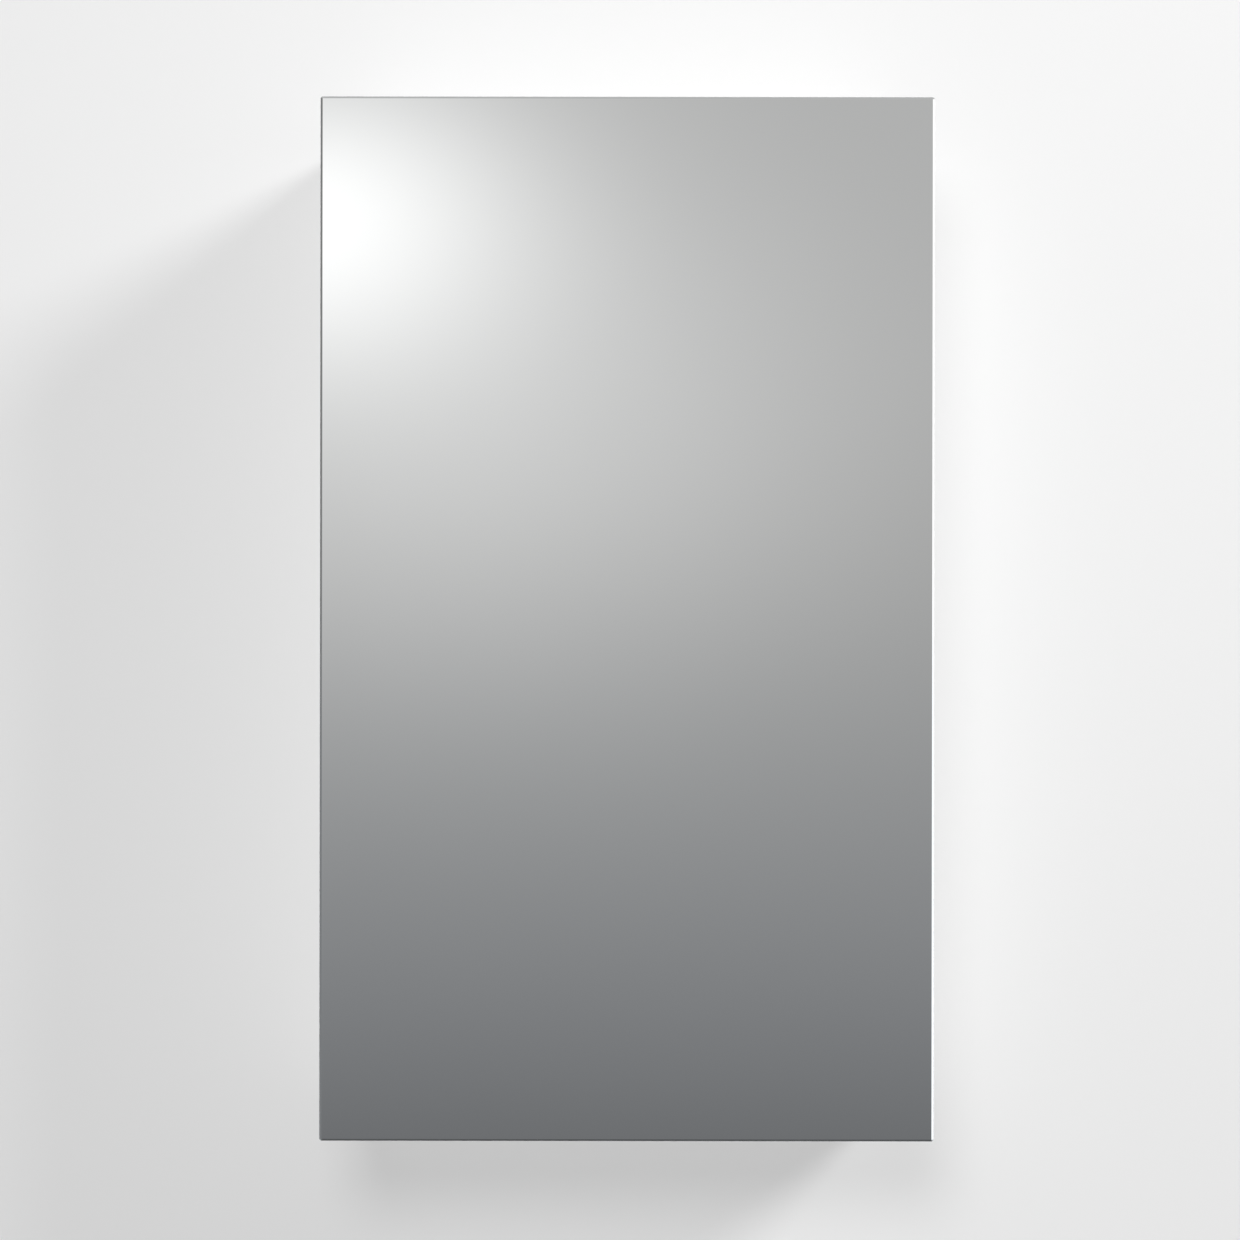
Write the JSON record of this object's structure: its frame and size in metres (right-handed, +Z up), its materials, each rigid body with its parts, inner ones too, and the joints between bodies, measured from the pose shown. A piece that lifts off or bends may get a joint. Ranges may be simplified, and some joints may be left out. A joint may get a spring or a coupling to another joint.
{
  "type": "mirrored bathroom cabinet",
  "caption": "Shallow wall-hung bathroom cabinet: a white lacquered case with glass shelves behind one hinged, frameless mirror door.",
  "frame": {"origin": "centre of the flat back, on the wall plane", "axes": "+Y into the wall, so the mirror faces -Y; +X to the viewer's right; +Z up"},
  "size_m": [0.4, 0.14, 0.68],
  "materials": {
    "lacquer": "satin white lacquer on board",
    "back_board": "satin white lacquer on fibreboard",
    "dowel_wood": "plain beech",
    "zinc_steel": "bright zinc plate",
    "zinc_cast": "die-cast zinc",
    "cap_plastic": "white moulded plastic",
    "shelf_glass": "clear tempered, ground edges",
    "clear_rubber": "soft translucent",
    "foam_tape": "closed-cell foam tape",
    "mirror_face": "silvered float glass, polished bevel",
    "hinge_steel": "nickel-plated steel",
    "magnet": "sintered ferrite"
  },
  "bodies": {
    "cabinet": {"side_left": "lacquer", "side_right": "lacquer", "top_panel": "lacquer", "bottom_panel": "lacquer", "back_panel": "back_board", "dowels": "dowel_wood", "cam_bolts": "zinc_steel", "cam_locks": "zinc_cast", "cam_caps": "cap_plastic", "back_panel_screws": "zinc_steel", "shelf_lower": "shelf_glass", "shelf_middle": "shelf_glass", "shelf_upper": "shelf_glass", "shelf_supports": "zinc_steel", "shelf_pads": "clear_rubber", "hinge_case_screws": "zinc_steel", "catch_housing": "cap_plastic", "catch_pole_plates": "zinc_steel", "catch_magnet": "magnet", "catch_screws": "zinc_steel", "door_bumpers": "clear_rubber", "hinge_lower_case_leaf": "hinge_steel", "hinge_lower_pin": "hinge_steel", "hinge_middle_case_leaf": "hinge_steel", "hinge_middle_pin": "hinge_steel", "hinge_upper_case_leaf": "hinge_steel", "hinge_upper_pin": "hinge_steel"},
    "door": {"door_board": "lacquer", "mirror_tape": "foam_tape", "mirror_glass": "mirror_face", "hinge_door_screws": "zinc_steel", "strike_plate": "zinc_steel", "strike_screw": "zinc_steel", "hinge_lower_door_leaf": "hinge_steel", "hinge_middle_door_leaf": "hinge_steel", "hinge_upper_door_leaf": "hinge_steel"}
  },
  "joints": [
    {"name": "door_hinge", "type": "hinge", "parent": "cabinet", "child": "door", "pos_m": [-0.1967, -0.1185, 0], "axis": [0, 0, -1], "range_deg": [0, 170]}
  ]
}
